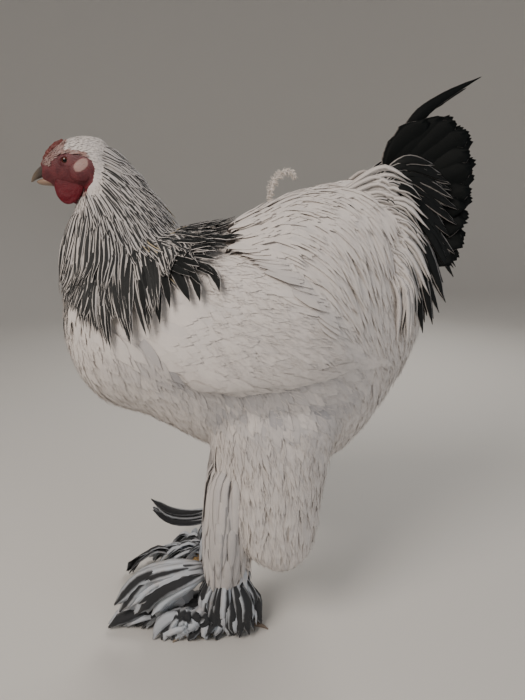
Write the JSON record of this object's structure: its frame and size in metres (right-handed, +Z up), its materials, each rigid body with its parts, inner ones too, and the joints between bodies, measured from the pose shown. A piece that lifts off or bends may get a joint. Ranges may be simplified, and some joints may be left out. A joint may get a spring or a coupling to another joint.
{
  "type": "brahma chicken",
  "caption": "Life-size standing model of a light brahma cockerel with a pea comb, striped neck hackle, black tail and feathered legs and feet",
  "frame": {"origin": "on the floor under the middle of the bird's bounding box", "axes": "+Z is up, -X is where the bill points, and the bird's left side faces -Y"},
  "size_m": [0.524, 0.254, 0.6789],
  "materials": {
    "white_feather": "soft matt feather",
    "striped_feather": "white feather with dark centres",
    "black_feather": "glossy black feather with a green sheen",
    "red_skin": "satin bare skin",
    "pale_lobe": "satin bare skin",
    "eye": "wet gloss",
    "horn": "satin horn",
    "scaled_foot": "satin scales"
  },
  "bodies": {
    "root": {"back": "white_feather", "beak_lower": "horn", "beak_upper": "horn", "claw_hind_left": "horn", "claw_hind_right": "horn", "claw_inner_left": "horn", "claw_inner_right": "horn", "claw_middle_left": "horn", "claw_middle_right": "horn", "claw_outer_left": "horn", "claw_outer_right": "horn", "comb": "red_skin", "earlobe_left": "pale_lobe", "earlobe_right": "pale_lobe", "eye_left": "eye", "eye_right": "eye", "foot_left": "scaled_foot", "foot_right": "scaled_foot", "head": "red_skin", "neck": "striped_feather", "shank_left": "striped_feather", "shank_right": "striped_feather", "tail": "black_feather", "thigh_left": "white_feather", "thigh_right": "white_feather", "torso": "white_feather", "wattle_left": "red_skin", "wattle_right": "red_skin", "wing_left": "white_feather", "wing_right": "white_feather"}
  },
  "joints": []
}
